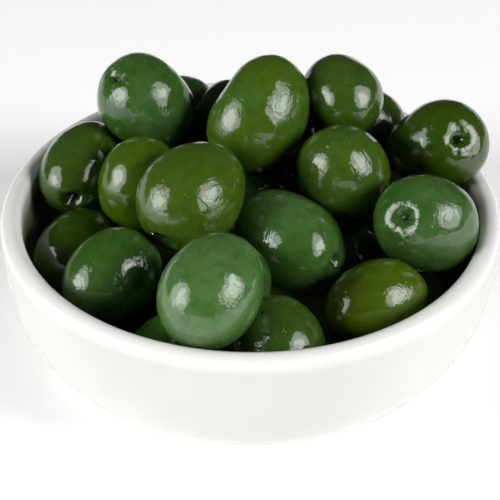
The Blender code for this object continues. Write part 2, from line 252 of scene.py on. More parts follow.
# A cloudy change of colour: the size of its lumps, how fine and how stirred they are, where
# in the noise it starts and ends, how strong it is, and its colour
Cloud = namedtuple("Cloud", "size detail stir start end strength colour")
DULL_GLAZE = Cloud(30.0, 3, 0.0, 0.35, 0.7, 1.0, (0.695, 0.685, 0.655, 1.0))
BLOOM = Cloud(6.0, 4, 0.6, 0.48, 0.75, 1.0, (0.095, 0.16, 0.045, 1.0))
MOTTLE = Cloud(2.4, 4, 0.0, 0.35, 0.7, 0.35, (0.02, 0.05, 0.006, 1.0))

# How much pale bloom each ripeness wears
BLOOM_SHARE = {"leaf": 0.1, "lime": 0.03, "sea": 0.3}

# Round marks: how far apart, their radius, the share of it that is solid, how strong they are
# and their colour, then the size of the patches they keep to, and where in the noise those lie
Marks = namedtuple(
    "Marks", "spacing radius solid strength colour patch start end", defaults=(None, 0.0, 1.0))
GLAZE_SPECKS = Marks(4.5, 0.25, 0.5, 0.35, (0.35, 0.31, 0.25, 1.0), 9.0, 0.5, 0.6)
SKIN_PORES = Marks(1.5, 0.3, 0.5, 0.25, (0.012, 0.03, 0.004, 1.0))
SKIN_DOTS = Marks(1.9, 0.34, 0.3, 0.5, (0.14, 0.23, 0.08, 1.0), 11.0, 0.4, 0.55)
SKIN_SCARS = Marks(12.0, 0.9, 0.7, 0.6, (0.10, 0.085, 0.02, 1.0))

# Shallow relief in a finish: the size of its lumps, how fine they are and their height
Ripple = namedtuple("Ripple", "size detail height")
GLAZE_WAVES = Ripple(16.0, 2, 0.16)
GLAZE_PORES = Ripple(0.7, 3, 0.012)
CORE_LUMPS = Ripple(9.0, 1, 1.2)
SKIN_GRAIN = Ripple(0.8, 3, 0.04)
FILM_PEEL = Ripple(0.6, 1, 0.018)
FILM_SAG = Ripple(5.0, 1, 0.3)

# How rough a finish is: the size of its duller patches, and the least and most roughness
Gloss = namedtuple("Gloss", "size least most")
GLAZE_GLOSS = Gloss(6.0, 0.16, 0.26)
SKIN_GLOSS = Gloss(5.0, 0.32, 0.46)

# The turned line's strength and colour, and the size of the breaks in it
LINE_STRENGTH = 0.07
LINE_COLOUR = (0.45, 0.42, 0.36, 1.0)
LINE_BREAK = 14.0

# Painted light on the lip: a whiter colour that stands for light on its top, and the heights between
# which it starts
LIT_LIP_COLOUR = (0.88, 0.87, 0.85, 1.0)
LIT_LIP_HEIGHTS = (36.0, 39.5)

# Painted shade on the inside, tinted green as a painted reflection of the olives: its colour,
# the depths under the lip between which it starts, and the size and height of its ragged edge
INSIDE_SHADE_COLOUR = (0.26, 0.30, 0.17, 1.0)
INSIDE_SHADE_DEPTH = (2.5, 7.5)
INSIDE_SHADE_EDGE_SIZE = 7.0
INSIDE_SHADE_EDGE_HEIGHT = 3.0

# The heights between which the glaze gives way to bare clay, and the roughness that adds
BARE_FOOT = (0.6, 0.2)
BARE_ROUGHNESS = 0.45

# Painted shade on the core, for the olives deep below: its darkest and lightest colour, and the size of
# its patches
CORE_SHADE_COLOURS = ((0.006, 0.012, 0.002, 1.0), (0.014, 0.03, 0.005, 1.0))
CORE_SHADE_PATCH = 8.0

# How a skin drifts between its two colours: the size of its patches and how far it goes
DRIFT_SIZE = 11.0
DRIFT_REACH = 3.0

# Painted shade inside a stem pit and its hollow: its colour and strength
PIT_SHADE_COLOUR = (0.008, 0.014, 0.003, 1.0)
PIT_SHADE_STRENGTH = 0.85

# The film of brine: the size of its crinkled patches, and the crinkles' size and height
FILM_PATCH = 5.5
CRINKLE_SIZE = 1.6
CRINKLE_HEIGHT = 0.2

# The brine's two tints, and the size of their patches
BRINE_TINTS = ((0.86, 0.92, 0.78, 1.0), (0.94, 0.97, 0.90, 1.0))
BRINE_PATCH = 3.0

# The camera, as the photograph was taken: lengths in millimetres, the angle in degrees
CAMERA_TARGET = (-0.17, 0.0, 24.8)
CAMERA_DISTANCE = 330.0
CAMERA_ELEVATION = 36.17
LENS = 96.0
SENSOR = 36.0

# Soft lights round the dish, seen from the camera: how far left or right of its line of
# sight and how far above it, in degrees, then the distance, width and brightness, whether
# it lights the dish, and whether it shows as a highlight
Light = namedtuple("Light", "name side lift distance width brightness shines mirrored")
LIGHTS = (
    Light("left softbox", -62.0, 3.5, 2000.0, 1900.0, 3.5, False, True),
    Light("left softbox's middle", -62.0, 3.5, 1990.0, 1000.0, 4.0, False, True),
    Light("left key", -62.0, 3.5, 1980.0, 800.0, 22.0, True, False),
    Light("right softbox", 50.0, 9.0, 2000.0, 1900.0, 3.5, False, True),
    Light("right softbox's middle", 50.0, 9.0, 1990.0, 1000.0, 4.0, False, True),
    Light("right key", 50.0, 9.0, 1980.0, 800.0, 22.0, True, False),
    Light("edge light", 148.0, 8.0, 1500.0, 500.0, 4.0, True, True),
    Light("ceiling", 0.0, 75.0, 1500.0, 700.0, 1.6, True, False),
)

# The width of the square floor
FLOOR_SIZE = 4000.0


class BowlSettings(bpy.types.PropertyGroup):
    """Facets and finish of the bowl."""

    sides: IntProperty(name="Sides", description="Facets round the bowl", default=256, min=32)
    stray: FloatProperty(
        name="Stray", description="How far the thrown lip strays inwards from a true circle",
        default=0.25 * MM, min=0, subtype="DISTANCE", unit="LENGTH")
    glaze: FloatVectorProperty(
        name="Glaze", description="Colour of the glaze",
        default=(0.72, 0.71, 0.685, 1.0), size=4, min=0, max=1, subtype="COLOR")
    clay: FloatVectorProperty(
        name="Clay", description="Colour of the bare clay under the foot",
        default=(0.62, 0.56, 0.47, 1.0), size=4, min=0, max=1, subtype="COLOR")


class OliveSettings(bpy.types.PropertyGroup):
    """Facets, relief and colours of the olives."""

    sides: IntProperty(name="Sides", description="Facets round one olive", default=88, min=8)
    rings: IntProperty(name="Rings", description="Facets from pit to tip", default=66, min=6)
    relief: FloatProperty(
        name="Relief", description="Depth of the broad dents in a skin",
        default=0.35 * MM, min=0, subtype="DISTANCE", unit="LENGTH")
    leaf_first: FloatVectorProperty(
        name="Leaf green", description="Yellower side of the middling olives",
        default=(0.058, 0.106, 0.004, 1.0), size=4, min=0, max=1, subtype="COLOR")
    leaf_second: FloatVectorProperty(
        name="Leaf green, cooler", description="Bluer side of the middling olives",
        default=(0.046, 0.112, 0.012, 1.0), size=4, min=0, max=1, subtype="COLOR")
    lime_first: FloatVectorProperty(
        name="Lime green", description="Yellower side of the ripest olives",
        default=(0.064, 0.104, 0.0012, 1.0), size=4, min=0, max=1, subtype="COLOR")
    lime_second: FloatVectorProperty(
        name="Lime green, cooler", description="Greener side of the ripest olives",
        default=(0.046, 0.112, 0.0018, 1.0), size=4, min=0, max=1, subtype="COLOR")
    sea_first: FloatVectorProperty(
        name="Sea green", description="Deeper side of the bluest olives",
        default=(0.036, 0.108, 0.011, 1.0), size=4, min=0, max=1, subtype="COLOR")
    sea_second: FloatVectorProperty(
        name="Sea green, paler", description="Paler side of the bluest olives",
        default=(0.066, 0.146, 0.040, 1.0), size=4, min=0, max=1, subtype="COLOR")


class BrineSettings(bpy.types.PropertyGroup):
    """Sizes of the drops of brine."""

    fineness: IntProperty(name="Fineness", description="Subdivisions of a drop", default=3, min=1)
    size: FloatProperty(
        name="Size", description="Size of the drops against the usual",
        default=1.0, min=0.1, subtype="FACTOR")


class StageSettings(bpy.types.PropertyGroup):
    """Floor, its glow and the fill light."""

    floor: FloatVectorProperty(
        name="Floor", description="Colour of the floor",
        default=(0.95, 0.95, 0.95, 1.0), size=4, min=0, max=1, subtype="COLOR")
    floor_glow: FloatProperty(
        name="Floor glow", description="Light that the lit table under the floor gives",
        default=0.24, min=0)
    fill: FloatProperty(name="Fill", description="Strength of the even fill light", default=0.03, min=0)


class Nodes:
    """A node tree, with short calls that add a node and wire its inputs."""

    def __init__(self, tree):
        self.tree = tree

    def wire(self, socket, value):
        """Link a socket to an output, or set its value."""
        if isinstance(value, bpy.types.NodeSocket):
            self.tree.links.new(value, socket)
        else:
            socket.default_value = value

    def add(self, kind, inputs=(), **settings):
        """A new node with its settings, and its inputs by place or by name."""
        node = self.tree.nodes.new(kind)
        for name, value in settings.items():
            setattr(node, name, value)
        named = inputs.items() if isinstance(inputs, dict) else enumerate(inputs)
        for key, value in named:
            self.wire(node.inputs[key], value)
        return node

    def math(self, operation, *values):
        """The result of a sum on numbers."""
        return self.add("ShaderNodeMath", values, operation=operation).outputs[0]

    def vector(self, operation, *values):
        """The result of a sum on vectors: a number for a dot product, else a vector."""
        node = self.add("ShaderNodeVectorMath", values, operation=operation)
        return node.outputs[1 if operation == "DOT_PRODUCT" else 0]

    def scaled(self, vector, factor):
        """A vector made longer or shorter."""
        inputs = {0: vector, 3: factor}
        return self.add("ShaderNodeVectorMath", inputs, operation="SCALE").outputs[0]

    def noise(self, place, size, detail=2.0, distortion=0.0):
        """Soft noise from 0 to 1, its lumps about the given millimetres across."""
        scale = 1 / (size * MM)
        inputs = {"Vector": place, "Scale": scale, "Detail": detail, "Distortion": distortion}
        return self.add("ShaderNodeTexNoise", inputs).outputs[0]

    def spots(self, place, spacing, radius, solid):
        """Round spots, sized and spaced in millimetres: 1 in the solid share, 0 outside."""
        cells = self.add("ShaderNodeTexVoronoi", {"Vector": place, "Scale": 1 / (spacing * MM)})
        reach = radius / spacing
        return self.fade(cells.outputs[0], reach, reach * solid)

    def fade(self, value, start, end, low=0.0, high=1.0):
        """A smooth change from low to high as the value goes from start to end."""
        inputs = (value, start, end, low, high)
        node = self.add("ShaderNodeMapRange", inputs, interpolation_type="SMOOTHSTEP")
        return node.outputs[0]

    def hump(self, offset, width):
        """A soft hump of height 1 that falls away over a width."""
        share = self.math("DIVIDE", offset, width)
        return self.math("EXPONENT", self.math("MULTIPLY", self.math("MULTIPLY", share, share), -1.0))

    def mix(self, factor, first, second):
        """A colour between two colours."""
        node = self.add("ShaderNodeMix", {0: factor, 6: first, 7: second}, data_type="RGBA")
        return node.outputs[2]

    def bump(self, height, distance, normal=None):
        """A normal that is tilted by a height, which counts as a distance in millimetres."""
        inputs = {"Height": height, "Distance": distance * MM}
        if normal:
            inputs["Normal"] = normal
        return self.add("ShaderNodeBump", inputs).outputs[0]

    def clouded(self, place, colour, cloud):
        """A colour with a cloudy second colour over it."""
        lumps = self.noise(place, cloud.size, cloud.detail, cloud.stir)
        amount = self.fade(lumps, cloud.start, cloud.end, 0.0, cloud.strength)
        return self.mix(amount, colour, cloud.colour)

    def marked(self, place, colour, marks):
        """A colour with round marks over it, everywhere or in patches."""
        amount = self.spots(place, marks.spacing, marks.radius, marks.solid)
        if marks.patch:
            patches = self.fade(self.noise(place, marks.patch), marks.start, marks.end)
            amount = self.math("MULTIPLY", amount, patches)
        return self.mix(self.math("MULTIPLY", amount, marks.strength), colour, marks.colour)

    def rippled(self, place, ripple, normal=None):
        """A normal with shallow relief on it."""
        return self.bump(self.noise(place, ripple.size, ripple.detail), ripple.height, normal)

    def roughness(self, place, gloss):
        """A roughness that is duller in patches."""
        return self.fade(self.noise(place, gloss.size, 3), 0.3, 0.7, gloss.least, gloss.most)

    def attribute(self, name):
        """A number stored on the piece, for a material."""
        return self.add("ShaderNodeAttribute", attribute_name=name).outputs["Fac"]

    def named(self, name, data_type="FLOAT"):
        """A value stored on the points, for a geometry tree."""
        return self.add("GeometryNodeInputNamedAttribute", (name,), data_type=data_type).outputs[0]

    def store(self, geometry, name, value, data_type="FLOAT"):
        """The geometry with a value stored on its points."""
        node = self.add(
            "GeometryNodeStoreNamedAttribute", {0: geometry, 2: name, 3: value}, data_type=data_type)
        return node.outputs[0]


def new_material(name):
    """A material with one shader: the material, its nodes, that shader and object coordinates."""
    material = bpy.data.materials.new(name)
    material.use_nodes = True
    nodes = Nodes(material.node_tree)
    shader = material.node_tree.nodes["Principled BSDF"]
    place = nodes.add("ShaderNodeTexCoord").outputs["Object"]
    return material, nodes, shader, place


def geometry_tree(name, inputs):
    """A geometry tree with named inputs: the tree, its nodes and its inputs' sockets."""
    tree = bpy.data.node_groups.new(name, "GeometryNodeTree")
    tree.interface.new_socket("Points", in_out="INPUT", socket_type="NodeSocketGeometry")
    for label, kind in inputs:
        tree.interface.new_socket(label, in_out="INPUT", socket_type=kind)
    tree.interface.new_socket("Pieces", in_out="OUTPUT", socket_type="NodeSocketGeometry")
    nodes = Nodes(tree)
    return tree, nodes, nodes.add("NodeGroupInput").outputs


def end_tree(nodes, geometry, material):
    """Smooth shading and a material for the pieces, which leave the tree."""
    smooth = nodes.add("GeometryNodeSetShadeSmooth", (geometry,)).outputs[0]
    dressed = nodes.add("GeometryNodeSetMaterial", {0: smooth, "Material": material}).outputs[0]
    nodes.add("NodeGroupOutput", (dressed,))


def run_tree(name, places, attributes, tree, values):
    """The plain mesh object that a tree makes of points, which carry attributes."""
    points = bpy.data.meshes.new(name)
    points.from_pydata([tuple(place) for place in places], [], [])
    for label, column in attributes.items():
        column = np.asarray(column, np.float32)
        kind = "FLOAT_VECTOR" if column.ndim == 2 else "FLOAT"
        field = "vector" if column.ndim == 2 else "value"
        stored = points.attributes.new(label, kind, "POINT")
        stored.data.foreach_set(field, column.reshape(-1))
    piece = bpy.data.objects.new(name, points)
    bpy.context.scene.collection.objects.link(piece)
    modifier = piece.modifiers.new(tree.name, "NODES")
    modifier.node_group = tree
    sockets = {item.name: item.identifier for item in tree.interface.items_tree}
    for label, value in values.items():
        modifier[sockets[label]] = value
    bpy.context.view_layer.update()
    graph = bpy.context.evaluated_depsgraph_get()
    finished = bpy.data.meshes.new_from_object(
        piece.evaluated_get(graph), preserve_all_data_layers=True, depsgraph=graph)
    piece.modifiers.clear()
    piece.data = finished
    bpy.data.meshes.remove(points)
    return piece


def carry(piece, node):
    """Let a piece ride on the dish in place of a solid."""
    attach(piece, BODY)
    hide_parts(node)


def unit(vector):
    """The vector at length one."""
    vector = np.array(vector, float)
    return vector / np.linalg.norm(vector)


def wall_curve(steps, inset):
    """Half outline of the bowl's side, foot to lip, moved inwards along its own normal."""
    turn = np.linspace(0.0, math.pi / 2, steps + 1)
    radius = FOOT_RADIUS + (BOWL_RADIUS - FOOT_RADIUS) * np.sin(turn) ** (2 / SPREAD)
    height = (BOWL_HEIGHT - WALL / 2) * (1 - np.cos(turn) ** (2 / BELLY))
    along = np.stack([np.gradient(radius), np.gradient(height)], axis=1)
    along[0] = (1.0, 0.0)
    along[-1] = (0.0, 1.0)
    along /= np.linalg.norm(along, axis=1)[:, None]
    return np.stack([radius - inset * along[:, 1], height + inset * along[:, 0]], axis=1)


def lip_curve(steps):
    """Half circle over the bowl's lip, from its outer side to its inner side."""
    turn = np.linspace(0.0, math.pi, steps + 1)
    radius = BOWL_RADIUS - WALL / 2 + WALL / 2 * np.cos(turn)
    height = BOWL_HEIGHT - WALL / 2 + WALL / 2 * np.sin(turn)
    return np.stack([radius, height], axis=1)


def inside_outline():
    """The bowl's inside from the middle of its floor, up the wall and over the lip."""
    floor_middle = [(0.0, WALL)]
    over_the_lip = lip_curve(LIP_STEPS)[::-1]
    return np.concatenate([floor_middle, wall_curve(WALL_STEPS, WALL), over_the_lip[1:]])


def balls_in(olive):
    """Three balls along the long axis that fill an olive: how far along, and how large."""
    stem_ball = olive.width / 2 * END_BALL
    tip_ball = olive.width / 2 * (END_BALL - olive.taper)
    offsets = (olive.length / 2 - stem_ball, 0.0, tip_ball - olive.length / 2)
    return offsets, (stem_ball, olive.width / 2, tip_ball)


def push_off_bowl(middles, radii, outline):
    """The move that takes each ball clear of the bowl's inside."""
    reach = np.hypot(middles[:, 0], middles[:, 1])
    here = np.stack([reach, middles[:, 2]], axis=1)
    start = outline[:-1]
    run = np.diff(outline, axis=0)
    along = ((here[:, None] - start) * run).sum(axis=-1) / (run ** 2).sum(axis=-1)
    nearest = start + np.clip(along, 0, 1)[..., None] * run
    away = here[:, None] - nearest
    distance = np.linalg.norm(away, axis=-1)
    rows = np.arange(len(middles))
    pick = distance.argmin(axis=1)
    normal = np.stack([-run[pick, 1], run[pick, 0]], axis=1)
    normal /= np.linalg.norm(normal, axis=1)[:, None]
    side = np.sign((away[rows, pick] * normal).sum(axis=-1))
    depth = np.clip(radii + CLEARANCE - side * distance[rows, pick], 0, None)
    straight = away[rows, pick] / distance[rows, pick][:, None]
    push = np.where(side[:, None] > 0, straight, normal) * depth[:, None]
    outward = middles[:, :2] / reach[:, None]
    return np.concatenate([outward * push[:, :1], push[:, 1:]], axis=1)


def settle(olives):
    """Nudge the olives until neighbours press together inside the bowl: their middles."""
    count = len(olives)
    olive = np.arange(count)
    rows, columns = np.indices((count, count))
    outline = inside_outline()
    typed = np.array([one.place for one in olives], float)
    places = typed.copy()
    axes = np.array([unit(one.axis) for one in olives])
    offsets = np.array([balls_in(one)[0] for one in olives])
    radii = np.array([balls_in(one)[1] for one in olives])
    reach = radii[:, None, :, None] + radii[None, :, None, :]
    for _ in range(SETTLE_ROUNDS):
        middles = places[:, None] + axes[:, None] * offsets[..., None]
        apart = middles[:, None, :, None] - middles[None, :, None, :]
        distance = np.linalg.norm(apart, axis=-1) + 1e-9
        overlap = (reach - distance).reshape(count, count, -1)
        worst = (rows, columns, overlap.argmax(axis=-1))
        way = (apart / distance[..., None]).reshape(count, count, -1, 3)[worst]
        excess = overlap[worst] - SQUEEZE
        excess[olive, olive] = 0
        move = np.where(excess > 0, PUSH_SHARE * excess, DRAW_SHARE * excess)
        move[excess < -DRAW_RANGE] = 0
        move[:HELD_OLIVES] = np.clip(move[:HELD_OLIVES], 0, None)
        places += (way * move[..., None]).sum(axis=1)
        places[:HELD_OLIVES] += HOLD_SHARE * (typed - places)[:HELD_OLIVES]
        off_wall = push_off_bowl(middles.reshape(-1, 3), radii.reshape(-1), outline)
        off_wall = off_wall.reshape(count, -1, 3)
        deepest = np.linalg.norm(off_wall, axis=-1).argmax(axis=1)
        places += off_wall[olive, deepest]
    return places


def plain_skin(olive, direction):
    """Distance from an olive's middle to its skin, without its pit, along a direction."""
    along = direction @ unit(olive.axis)
    half_length = olive.length / 2
    half_width = olive.width / 2 * (1 + olive.taper * along)
    return 1 / np.sqrt(along ** 2 / half_length ** 2 + (1 - along ** 2) / half_width ** 2)


def swells_of(number):
    """The two ways and heights by which an olive's skin leaves a plain egg shape."""
    found = [(unit(swell.way), swell.height * MM) for swell in SWELLS if swell.olive == number]
    return (found + [((0.0, 0.0, 1.0), 0.0)] * 2)[:2]


def looks_of_all():
    """A look for every olive: the chosen ones, and drawn ones for those that hardly show."""
    draw = np.random.default_rng(LOOK_SEED)
    looks = list(LOOKS)
    while len(looks) < len(OLIVES):
        ripeness = RIPENESS[len(looks) % len(RIPENESS)]
        tone, shade, film, pit, basin = draw.uniform(DRAWN_LOW, DRAWN_HIGH)
        looks.append(Look(ripeness, tone, shade, film, pit=pit, basin=basin))
    return looks


def skin_attributes(chosen, looks):
    """What the skins' geometry and finish need to know of each of the chosen olives."""
    olives = [OLIVES[number] for number in chosen]
    worn = [looks[number] for number in chosen]
    swells = [swells_of(number + 1) for number in chosen]
    attributes = {
        "axis": [unit(olive.axis) for olive in olives],
        "stem": [unit(olive.stem) for olive in olives],
        "length": [olive.length * MM for olive in olives],
        "width": [olive.width * MM for olive in olives],
        "taper": [olive.taper for olive in olives],
    }
    for label in ("tone", "shade", "film"):
        attributes[label] = [getattr(look, label) for look in worn]
    for label in ("pit", "mouth", "basin", "hollow", "folds"):
        attributes[label] = [getattr(look, label) * MM for look in worn]
    for place, label in enumerate(("first", "second")):
        attributes[label + "_way"] = [pair[place][0] for pair in swells]
        attributes[label + "_swell"] = [pair[place][1] for pair in swells]
    return attributes


def turned_mesh(name, outline, sides, stray):
    """A closed shape turned round +Z, its radius drawn in by a function of turn and height."""
    turn = np.arange(sides) * 2 * math.pi / sides
    rings = []
    for radius, height in outline[1:-1]:
        reach = radius - stray(turn, height)
        rings.append(np.stack([reach * np.cos(turn), reach * np.sin(turn), height + 0 * turn], 1))
    start = [(0.0, 0.0, outline[0][1])]
    end = [(0.0, 0.0, outline[-1][1])]
    points = np.concatenate([start, *rings, end]) * MM
    last = len(points) - 1
    faces = []
    for side in range(sides):
        beside = (side + 1) % sides
        faces.append((0, 1 + beside, 1 + side))
        for band in range(len(rings) - 1):
            low = 1 + band * sides
            faces.append((low + side, low + beside, low + sides + beside, low + sides + side))
        low = last - sides
        faces.append((low + side, low + beside, last))
    mesh = bpy.data.meshes.new(name)
    mesh.from_pydata([tuple(point) for point in points], [], faces)
    shell = bmesh.new()
    shell.from_mesh(mesh)
    bmesh.ops.recalc_face_normals(shell, faces=shell.faces)
    shell.to_mesh(mesh)
    shell.free()
    mesh.shade_smooth()
    built = bpy.data.objects.new(name, mesh)
    bpy.context.scene.collection.objects.link(built)
    return built


def bowl_outline():
    """Half outline of the whole bowl, with the faint turned line under its lip."""
    outside = wall_curve(FINE_WALL_STEPS, 0.0)
    line = (outside[:, 1] - (BOWL_HEIGHT - TURNED_LINE_DROP)) / TURNED_LINE_WIDTH
    outside[:, 0] -= TURNED_LINE_DEPTH * np.exp(-line ** 2)
    lip = lip_curve(FINE_LIP_STEPS)[1:-1]
    inside = wall_curve(FINE_WALL_STEPS, WALL)[::-1]
    return np.concatenate([[(0.0, 0.0)], outside, lip, inside, [(0.0, WALL)]])


def store_depth(mesh):
    """Store on the bowl's points how far they lie under the lip on the inside."""
    points = np.array([tuple(vertex.co) for vertex in mesh.vertices])
    middle = wall_curve(FINE_WALL_STEPS, WALL / 2) * MM
    middle_radius = np.interp(points[:, 2], middle[:, 1], middle[:, 0])
    inside = np.hypot(points[:, 0], points[:, 1]) < middle_radius
    depth = np.where(inside, BOWL_HEIGHT * MM - points[:, 2], 0.0)
    stored = mesh.attributes.new("depth", "FLOAT", "POINT")
    stored.data.foreach_set("value", depth.astype(np.float32))


def glaze_material(settings):
    """White glaze: painted light on the lip, painted shade tinted olive green inside, bare clay under
    the foot.
    """
    material, nodes, shader, place = new_material("white glaze")
    height = nodes.add("ShaderNodeSeparateXYZ", (place,)).outputs[2]
    colour = nodes.clouded(place, settings.glaze, DULL_GLAZE)
    colour = nodes.marked(place, colour, GLAZE_SPECKS)
    colour = nodes.mix(turned_line(nodes, place, height), colour, LINE_COLOUR)
    # Painted light: the lip is painted whiter, as light on its top
    lip = nodes.fade(height, LIT_LIP_HEIGHTS[0] * MM, LIT_LIP_HEIGHTS[1] * MM)
    colour = nodes.mix(lip, colour, LIT_LIP_COLOUR)
    # Painted shade and painted reflection of the olives on the inside of the bowl
    colour = nodes.mix(shaded_inside(nodes, place), colour, INSIDE_SHADE_COLOUR)
    bare = nodes.fade(height, BARE_FOOT[0] * MM, BARE_FOOT[1] * MM)
    colour = nodes.mix(bare, colour, settings.clay)
    nodes.wire(shader.inputs["Base Color"], colour)
    rough = nodes.roughness(place, GLAZE_GLOSS)
    rough = nodes.math("MULTIPLY_ADD", bare, BARE_ROUGHNESS, rough)
    nodes.wire(shader.inputs["Roughness"], rough)
    waves = nodes.rippled(place, GLAZE_WAVES)
    nodes.wire(shader.inputs["Normal"], nodes.rippled(place, GLAZE_PORES, waves))
    shader.inputs["IOR"].default_value = 1.52
    return material


def turned_line(nodes, place, height):
    """How strongly the turned line under the lip shows at a height, broken in places."""
    offset = nodes.math("SUBTRACT", height, (BOWL_HEIGHT - TURNED_LINE_DROP) * MM)
    broken = nodes.fade(nodes.noise(place, LINE_BREAK), 0.42, 0.6, 0.0, LINE_STRENGTH)
    return nodes.math("MULTIPLY", nodes.hump(offset, TURNED_LINE_WIDTH * MM), broken)


def shaded_inside(nodes, place):
    """How far painted shade, tinted like the olives' reflection, darkens the inside, down from a ragged
    edge under the lip.
    """
    height = INSIDE_SHADE_EDGE_HEIGHT * MM
    ragged = nodes.math("MULTIPLY_ADD", nodes.noise(place, INSIDE_SHADE_EDGE_SIZE, 3), height, -height / 2)
    depth = nodes.math("ADD", nodes.attribute("depth"), ragged)
    return nodes.fade(depth, INSIDE_SHADE_DEPTH[0] * MM, INSIDE_SHADE_DEPTH[1] * MM)


def core_shade_material():
    """Painted shade: near-black greens on the core, where wet olives lie in deep shade under the
    others.
    """
    material, nodes, shader, place = new_material("core in painted shade")
    shade = nodes.fade(nodes.noise(place, CORE_SHADE_PATCH, 3), 0.3, 0.7)
    nodes.wire(shader.inputs["Base Color"], nodes.mix(shade, *CORE_SHADE_COLOURS))
    nodes.wire(shader.inputs["Normal"], nodes.rippled(place, CORE_LUMPS))
    shader.inputs["Roughness"].default_value = 0.45
    return material


def skin_material(name, first, second, bloom_share):
    """Olive skin under a film of brine: drifting greens, pores, pale dots, painted shade in the pit,
    and a lightness with painted light and shade.
    """
    material, nodes, shader, place = new_material(name)
    patches = nodes.noise(place, DRIFT_SIZE, 2)
    drift = nodes.math("MULTIPLY_ADD", patches, DRIFT_REACH, -DRIFT_REACH / 2)
    tone = nodes.math("ADD", nodes.attribute("tone"), drift)
    colour = nodes.mix(nodes.fade(tone, -0.1, 1.1), first, second)
    for cloud in (BLOOM._replace(strength=bloom_share), MOTTLE):
        colour = nodes.clouded(place, colour, cloud)
    for marks in (SKIN_PORES, SKIN_DOTS, SKIN_SCARS):
        colour = nodes.marked(place, colour, marks)
    # Painted shade in the stem pit and its hollow
    in_pit = nodes.math("MULTIPLY", nodes.attribute("in_pit"), PIT_SHADE_STRENGTH)
    colour = nodes.mix(in_pit, colour, PIT_SHADE_COLOUR)
    # Each olive's lightness: painted light on the low one under the rim, painted shade on hidden ones
    colour = nodes.scaled(colour, nodes.attribute("shade"))
    nodes.wire(shader.inputs["Base Color"], colour)
    nodes.wire(shader.inputs["Roughness"], nodes.roughness(place, SKIN_GLOSS))
    nodes.wire(shader.inputs["Normal"], nodes.rippled(place, SKIN_GRAIN))
    shader.inputs["IOR"].default_value = 1.45
    shader.inputs["Specular IOR Level"].default_value = 0.05
    shader.inputs["Subsurface Weight"].default_value = 0.08
    shader.inputs["Subsurface Radius"].default_value = (0.5, 1.0, 0.25)
    shader.inputs["Subsurface Scale"].default_value = 1.5 * MM
    wet_film(nodes, shader, place)
    return material


def wet_film(nodes, shader, place):
    """The film of brine: a clear coat, smooth in places and crinkled in others."""
    where = nodes.fade(nodes.noise(place, FILM_PATCH, 2, 0.8), 0.4, 0.6, 0.1, 1.0)
    amount = nodes.math("MULTIPLY", where, nodes.attribute("film"))
    crinkle = nodes.math("MULTIPLY", nodes.noise(place, CRINKLE_SIZE, 3, 1.4), amount)
    crinkled = nodes.bump(crinkle, CRINKLE_HEIGHT)
    peel = nodes.rippled(place, FILM_PEEL, crinkled)
    nodes.wire(shader.inputs["Coat Normal"], nodes.rippled(place, FILM_SAG, peel))
    shader.inputs["Coat Weight"].default_value = 1.0
    shader.inputs["Coat Roughness"].default_value = 0.08
    shader.inputs["Coat IOR"].default_value = 1.6


def brine_material():
    """Clear, faintly green brine."""
    material, nodes, shader, place = new_material("brine")
    tint = nodes.mix(nodes.noise(place, BRINE_PATCH), *BRINE_TINTS)
    nodes.wire(shader.inputs["Base Color"], tint)
    shader.inputs["Roughness"].default_value = 0.02
    shader.inputs["IOR"].default_value = 1.34
    shader.inputs["Transmission Weight"].default_value = 1.0
    return material


